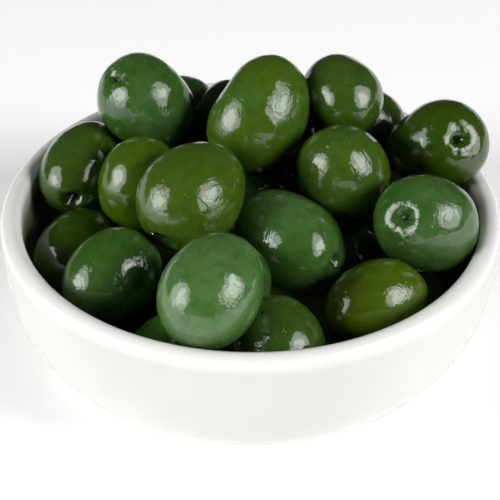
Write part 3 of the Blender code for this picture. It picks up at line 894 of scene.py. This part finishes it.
def skins_tree():
    """Geometry tree that grows one skin from each point."""
    tree, nodes, given = geometry_tree("olive skins", (
        ("Sides", "NodeSocketInt"),
        ("Rings", "NodeSocketInt"),
        ("Relief", "NodeSocketFloat"),
        ("Skin", "NodeSocketMaterial")))
    ball = nodes.add("GeometryNodeMeshUVSphere", (given["Sides"], given["Rings"], 1.0)).outputs[0]
    ball = nodes.add("GeometryNodeSetPosition", {0: ball, 2: crowded_place(nodes)}).outputs[0]
    here = nodes.add("GeometryNodeInputPosition").outputs[0]
    points = nodes.store(given["Points"], "middle", here, "FLOAT_VECTOR")
    upright = nodes.add(
        "FunctionNodeAlignRotationToVector", {2: nodes.named("stem", "FLOAT_VECTOR")}, axis="Z")
    balls = nodes.add("GeometryNodeInstanceOnPoints", {0: points, 2: ball, 5: upright.outputs[0]})
    whole = nodes.add("GeometryNodeRealizeInstances", (balls.outputs[0],)).outputs[0]
    middle = nodes.named("middle", "FLOAT_VECTOR")
    way = nodes.vector("NORMALIZE", nodes.vector("SUBTRACT", here, middle))
    skin = nodes.math("ADD", skin_distance(nodes, way), swelling(nodes, way))
    spot = nodes.vector("ADD", middle, nodes.scaled(way, skin))
    from_stem = arc_from(nodes, way, nodes.named("stem", "FLOAT_VECTOR"), skin)
    warp = nodes.math("MULTIPLY_ADD", nodes.noise(spot, WARP_SIZE, 1), WARP, 1 - WARP / 2)
    from_stem = nodes.math("MULTIPLY", from_stem, warp)
    in_pit = nodes.hump(along_slit(nodes, way, from_stem, skin), nodes.named("mouth"))
    # Painted shade in the stem pit, more the deeper it is, and in the hollow round it, stored as in_pit
    deep = nodes.fade(nodes.named("pit"), UNSHADED_PIT_DEPTH * MM, FULL_SHADE_PIT_DEPTH * MM)
    pit_shade = nodes.math("MULTIPLY", in_pit, deep)
    in_hollow = nodes.math("MULTIPLY", hollow_share(nodes, from_stem), nodes.named("hollow"))
    pit_shade = nodes.math("MULTIPLY_ADD", in_hollow, HOLLOW_SHADE / MM, pit_shade)
    whole = nodes.store(whole, "in_pit", nodes.math("MINIMUM", pit_shade, 1.0))
    pit = nodes.math("MULTIPLY", in_pit, nodes.named("pit"))
    relief = nodes.math("SUBTRACT", stem_relief(nodes, spot, from_stem), pit)
    relief = nodes.math("ADD", relief, nub(nodes, way, skin))
    relief = nodes.math("ADD", relief, dents(nodes, spot, given["Relief"]))
    radius = nodes.math("ADD", skin, relief)
    place = nodes.vector("ADD", middle, nodes.scaled(way, radius))
    whole = nodes.add("GeometryNodeSetPosition", {0: whole, 2: place}).outputs[0]
    end_tree(nodes, whole, given["Skin"])
    return tree


def crowded_place(nodes):
    """Places on a ball whose rings crowd together towards its top, where the pit is."""
    here = nodes.add("GeometryNodeInputPosition").outputs[0]
    height = nodes.add("ShaderNodeSeparateXYZ", (here,)).outputs[2]
    share = nodes.math("DIVIDE", nodes.math("ARCCOSINE", height), math.pi)
    angle = nodes.math("MULTIPLY", nodes.math("POWER", share, RING_CROWDING), math.pi)
    level = nodes.vector("NORMALIZE", nodes.vector("MULTIPLY", here, (1, 1, 0)))
    outward = nodes.scaled(level, nodes.math("SINE", angle))
    upward = nodes.add("ShaderNodeCombineXYZ", {2: nodes.math("COSINE", angle)}).outputs[0]
    return nodes.vector("ADD", outward, upward)


def skin_distance(nodes, way):
    """Distance from an olive's middle to its skin, without its pit."""
    along = nodes.vector("DOT_PRODUCT", way, nodes.named("axis", "FLOAT_VECTOR"))
    half_length = nodes.math("MULTIPLY", nodes.named("length"), 0.5)
    fullness = nodes.math("MULTIPLY_ADD", along, nodes.named("taper"), 1.0)
    half_width = nodes.math("MULTIPLY", nodes.math("MULTIPLY", nodes.named("width"), 0.5), fullness)
    squared = nodes.math("MULTIPLY", along, along)
    lengthwise = nodes.math("DIVIDE", squared, nodes.math("MULTIPLY", half_length, half_length))
    rest = nodes.math("SUBTRACT", 1.0, squared)
    across = nodes.math("DIVIDE", rest, nodes.math("MULTIPLY", half_width, half_width))
    return nodes.math("INVERSE_SQRT", nodes.math("ADD", lengthwise, across))


def arc_from(nodes, way, pole, skin):
    """Distance along the skin from one of an olive's ends."""
    near = nodes.vector("DOT_PRODUCT", way, pole)
    near = nodes.math("MINIMUM", nodes.math("MAXIMUM", near, -1.0), 1.0)
    return nodes.math("MULTIPLY", nodes.math("ARCCOSINE", near), skin)


def swelling(nodes, way):
    """How far a skin stands out from a plain egg shape."""
    total = 0.0
    for label in ("first", "second"):
        near = nodes.vector("DOT_PRODUCT", way, nodes.named(label + "_way", "FLOAT_VECTOR"))
        off_way = nodes.math("ARCCOSINE", nodes.math("MINIMUM", nodes.math("MAXIMUM", near, -1.0), 1.0))
        swell = nodes.hump(off_way, math.radians(SWELL_SPREAD))
        total = nodes.math("MULTIPLY_ADD", swell, nodes.named(label + "_swell"), total)
    return total


def along_slit(nodes, way, from_stem, skin):
    """Distance from the stem, shortened along the level direction in which the pit is long."""
    level = nodes.vector("CROSS_PRODUCT", nodes.named("stem", "FLOAT_VECTOR"), (0.0, 0.0, 1.0))
    level = nodes.vector("NORMALIZE", level)
    along = nodes.math("MULTIPLY", nodes.vector("DOT_PRODUCT", way, level), skin)
    taken = nodes.math("MULTIPLY", nodes.math("MULTIPLY", along, along), PIT_STRETCH)
    left = nodes.math("SUBTRACT", nodes.math("MULTIPLY", from_stem, from_stem), taken)
    return nodes.math("SQRT", nodes.math("MAXIMUM", left, 0.0))


def hollow_share(nodes, from_stem):
    """How far a place lies in the flat-floored hollow round the stem pit: 1 inside, 0 outside."""
    inside = nodes.math("POWER", nodes.math("DIVIDE", from_stem, HOLLOW_RADIUS * MM), 3.0)
    return nodes.math("EXPONENT", nodes.math("MULTIPLY", inside, -1.0))


def stem_relief(nodes, spot, from_stem):
    """The basin, its hollow and the folds round the stem pit."""
    basin = nodes.math("MULTIPLY", nodes.hump(from_stem, BASIN_RADIUS * MM), nodes.named("basin"))
    sunk = nodes.math("MULTIPLY_ADD", hollow_share(nodes, from_stem), nodes.named("hollow"), basin)
    folds = nodes.math("SUBTRACT", nodes.noise(spot, FOLD_SIZE, 1, 0.5), 0.5)
    folds = nodes.math("MULTIPLY", folds, nodes.hump(from_stem, FOLD_REACH * MM))
    return nodes.math("SUBTRACT", nodes.math("MULTIPLY", folds, nodes.named("folds")), sunk)


def nub(nodes, way, skin):
    """The small nub opposite the stem end."""
    tip = nodes.scaled(nodes.named("stem", "FLOAT_VECTOR"), -1.0)
    from_tip = arc_from(nodes, way, tip, skin)
    return nodes.math("MULTIPLY", nodes.hump(from_tip, NUB_RADIUS * MM), NUB_HEIGHT * MM)


def dents(nodes, spot, depth):
    """The broad soft dents and the fine unevenness in a skin."""
    broad = nodes.noise(spot, DENT_SIZE, 1)
    fine = nodes.noise(spot, FINE_DENT_SIZE, 2)
    both = nodes.math("MULTIPLY_ADD", fine, FINE_DENT_SHARE, broad)
    uneven = nodes.math("SUBTRACT", both, DENT_LEVEL)
    return nodes.math("MULTIPLY", uneven, depth)


def drops_tree():
    """Geometry tree that sets a flattened drop on each point."""
    tree, nodes, given = geometry_tree("brine drops", (
        ("Fineness", "NodeSocketInt"),
        ("Brine", "NodeSocketMaterial")))
    ball = nodes.add("GeometryNodeMeshIcoSphere", (1.0, given["Fineness"])).outputs[0]
    upright = nodes.add(
        "FunctionNodeAlignRotationToVector", {2: nodes.named("up", "FLOAT_VECTOR")}, axis="Z")
    stretch = nodes.named("stretch", "FLOAT_VECTOR")
    inputs = {0: given["Points"], 2: ball, 5: upright.outputs[0], 6: stretch}
    drops = nodes.add("GeometryNodeInstanceOnPoints", inputs).outputs[0]
    whole = nodes.add("GeometryNodeRealizeInstances", (drops,)).outputs[0]
    end_tree(nodes, whole, given["Brine"])
    return tree


def drop_places(middles):
    """Places, upward ways and sizes of drops round the places where two olives touch."""
    draw = np.random.default_rng(DROP_SEED)
    places = []
    ways = []
    sizes = []
    for first, olive in enumerate(OLIVES):
        for second in range(len(OLIVES)):
            if first == second:
                continue
            apart = middles[second] - middles[first]
            towards = unit(apart)
            reach = plain_skin(olive, towards) + plain_skin(OLIVES[second], -towards)
            if np.linalg.norm(apart) > reach + TOUCH_GAP:
                continue
            for _ in range(DROPS_AT_TOUCH):
                lean = math.radians(draw.uniform(*DROP_ANGLE))
                beside = unit(np.cross(towards, draw.normal(size=3)))
                way = math.cos(lean) * towards + math.sin(lean) * beside
                places.append(middles[first] + way * (plain_skin(olive, way) - DROP_SINK))
                ways.append(way)
                sizes.append(draw.uniform(*DROP_RADIUS))
    return np.array(places), np.array(ways), np.array(sizes)


class OLIVEDISH_OT_bowl(bpy.types.Operator):
    """Turn the glazed bowl."""

    bl_idname = "olivedish.bowl"
    bl_label = "Make the bowl"

    def execute(self, context):
        settings = context.scene.olive_bowl

        def stray(turn, height):
            share = (height / BOWL_HEIGHT) ** 2
            waves = sum(1 + np.sin(count * turn + start) for count, start in LIP_WAVES)
            return share * waves / (2 * len(LIP_WAVES)) * settings.stray / MM

        bowl = turned_mesh("glazed_bowl", bowl_outline(), settings.sides, stray)
        store_depth(bowl.data)
        bowl.data.materials.append(glaze_material(settings))
        carry(bowl, "bowl")
        return {"FINISHED"}


class OLIVEDISH_OT_core(bpy.types.Operator):
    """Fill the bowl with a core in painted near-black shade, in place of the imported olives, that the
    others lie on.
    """

    bl_idname = "olivedish.core"
    bl_label = "Make the core"

    def execute(self, context):
        side = wall_curve(FINE_WALL_STEPS, WALL + CLEARANCE)
        side = side[side[:, 1] < CORE_EDGE_HEIGHT]
        edge_radius, edge_height = side[-1]
        turn = np.linspace(0.0, math.pi / 2, CORE_DOME_STEPS + 1)[1:]
        dome = np.stack([
            edge_radius * np.cos(turn),
            edge_height + (CORE_TOP - edge_height) * np.sin(turn)], axis=1)
        outline = np.concatenate([[(0.0, WALL + CLEARANCE)], side, dome])

        def stray(turn, height):
            dent = np.sin(CORE_DENTS_ROUND * turn + height) * np.sin(height / 2)
            return CORE_DENT * (1 + dent)

        core = turned_mesh("heap_core", outline, CORE_SIDES, stray)
        core.data.materials.append(core_shade_material())
        carry(core, "olives")
        return {"FINISHED"}


class OLIVEDISH_OT_olives(bpy.types.Operator):
    """Heap the olives, in three ripenesses."""

    bl_idname = "olivedish.olives"
    bl_label = "Make the olives"

    def execute(self, context):
        settings = context.scene.olive_skins
        tree = skins_tree()
        middles = settle(OLIVES)
        looks = looks_of_all()
        for ripeness in RIPENESS:
            chosen = [number for number, look in enumerate(looks) if look.ripeness == ripeness]
            first = getattr(settings, ripeness + "_first")
            second = getattr(settings, ripeness + "_second")
            skin = skin_material(ripeness + " olive skin", first, second, BLOOM_SHARE[ripeness])
            attributes = skin_attributes(chosen, looks)
            piece = run_tree(ripeness + "_olives", middles[chosen] * MM, attributes, tree, {
                "Sides": settings.sides,
                "Rings": settings.rings,
                "Relief": settings.relief,
                "Skin": skin})
            carry(piece, "olives")
        return {"FINISHED"}


class OLIVEDISH_OT_brine(bpy.types.Operator):
    """Set drops of brine where olives touch."""

    bl_idname = "olivedish.brine"
    bl_label = "Make the brine"

    def execute(self, context):
        settings = context.scene.olive_brine
        places, ways, sizes = drop_places(settle(OLIVES))
        sizes = sizes * settings.size * MM
        attributes = {"up": ways, "stretch": np.stack([sizes, sizes, sizes * DROP_FLATNESS], axis=1)}
        piece = run_tree("brine_drops", places * MM, attributes, drops_tree(), {
            "Fineness": settings.fineness,
            "Brine": brine_material()})
        carry(piece, "olives")
        return {"FINISHED"}


class OLIVEDISH_OT_stage(bpy.types.Operator):
    """Set the floor, the lights and the camera."""

    bl_idname = "olivedish.stage"
    bl_label = "Make the stage"

    def execute(self, context):
        settings = context.scene.olive_stage
        scene = context.scene
        scene.view_settings.view_transform = "Standard"
        make_floor(settings)
        camera = make_camera()
        scene.collection.objects.link(camera)
        scene.camera = camera
        for light in LIGHTS:
            scene.collection.objects.link(make_light(light))
        world = bpy.data.worlds.new("fill light")
        world.use_nodes = True
        background = world.node_tree.nodes["Background"]
        background.inputs["Color"].default_value = (1.0, 1.0, 1.0, 1.0)
        background.inputs["Strength"].default_value = settings.fill
        scene.world = world
        return {"FINISHED"}


def make_floor(settings):
    """The plain pale floor under the dish."""
    mesh = bpy.data.meshes.new("floor")
    half = FLOOR_SIZE / 2 * MM
    corners = [(-half, -half, 0), (half, -half, 0), (half, half, 0), (-half, half, 0)]
    mesh.from_pydata(corners, [], [(0, 1, 2, 3)])
    floor = bpy.data.objects.new("floor", mesh)
    bpy.context.scene.collection.objects.link(floor)
    material, nodes, shader, place = new_material("pale floor")
    shader.inputs["Base Color"].default_value = settings.floor
    shader.inputs["Roughness"].default_value = 0.6
    shader.inputs["Emission Color"].default_value = (1.0, 1.0, 1.0, 1.0)
    shader.inputs["Emission Strength"].default_value = settings.floor_glow
    mesh.materials.append(material)


def camera_axes():
    """The camera's way back from the target, and its right and upward ways."""
    tilt = math.radians(CAMERA_ELEVATION)
    back = Vector((0.0, -math.cos(tilt), math.sin(tilt)))
    right = Vector((1.0, 0.0, 0.0))
    return back, right, back.cross(right)


def make_camera():
    """The camera at the photograph's angle."""
    data = bpy.data.cameras.new("camera")
    data.lens = LENS
    data.sensor_width = SENSOR
    camera = bpy.data.objects.new("camera", data)
    back, right, upward = camera_axes()
    camera.location = (Vector(CAMERA_TARGET) + back * CAMERA_DISTANCE) * MM
    camera.rotation_euler = (math.radians(90 - CAMERA_ELEVATION), 0.0, 0.0)
    return camera


def make_light(light):
    """One round soft light that faces the dish."""
    side = math.radians(light.side)
    lift = math.radians(light.lift)
    back, right, upward = camera_axes()
    way = math.cos(lift) * (math.cos(side) * back + math.sin(side) * right) + math.sin(lift) * upward
    data = bpy.data.lights.new(light.name, "AREA")
    data.shape = "DISK"
    data.size = light.width * MM
    area = math.pi * (light.width * MM / 2) ** 2
    data.energy = light.brightness * math.pi * area
    lamp = bpy.data.objects.new(light.name, data)
    lamp.location = (Vector(CAMERA_TARGET) + way * light.distance) * MM
    lamp.rotation_euler = way.to_track_quat("Z", "Y").to_euler()
    lamp.visible_diffuse = light.shines
    lamp.visible_glossy = light.mirrored
    return lamp


OPERATORS = (
    OLIVEDISH_OT_bowl,
    OLIVEDISH_OT_core,
    OLIVEDISH_OT_olives,
    OLIVEDISH_OT_brine,
    OLIVEDISH_OT_stage,
)

SETTINGS = (
    ("olive_bowl", BowlSettings),
    ("olive_skins", OliveSettings),
    ("olive_brine", BrineSettings),
    ("olive_stage", StageSettings),
)


class OLIVEDISH_PT_panel(bpy.types.Panel):
    """The sidebar panel that lists the settings and the buttons."""

    bl_idname = "OLIVEDISH_PT_panel"
    bl_label = "Dish of olives"
    bl_space_type = "VIEW_3D"
    bl_region_type = "UI"
    bl_category = "Olives"

    def draw(self, context):
        for name, group in SETTINGS:
            box = self.layout.box()
            for label in group.__annotations__:
                box.prop(getattr(context.scene, name), label)
        for operator in OPERATORS:
            self.layout.operator(operator.bl_idname)


def register():
    """Make the settings, the buttons and the panel known."""
    for name, group in SETTINGS:
        bpy.utils.register_class(group)
        setattr(bpy.types.Scene, name, PointerProperty(type=group))
    for operator in OPERATORS:
        bpy.utils.register_class(operator)
    bpy.utils.register_class(OLIVEDISH_PT_panel)


def unregister():
    """Take the panel, the buttons and the settings away."""
    bpy.utils.unregister_class(OLIVEDISH_PT_panel)
    for operator in reversed(OPERATORS):
        bpy.utils.unregister_class(operator)
    for name, group in reversed(SETTINGS):
        delattr(bpy.types.Scene, name)
        bpy.utils.unregister_class(group)


def main():
    """Make every piece of the dish, and the stage round it."""
    register()
    bpy.ops.olivedish.bowl()
    bpy.ops.olivedish.core()
    bpy.ops.olivedish.olives()
    bpy.ops.olivedish.brine()
    bpy.ops.olivedish.stage()


if __name__ == "__main__":
    main()
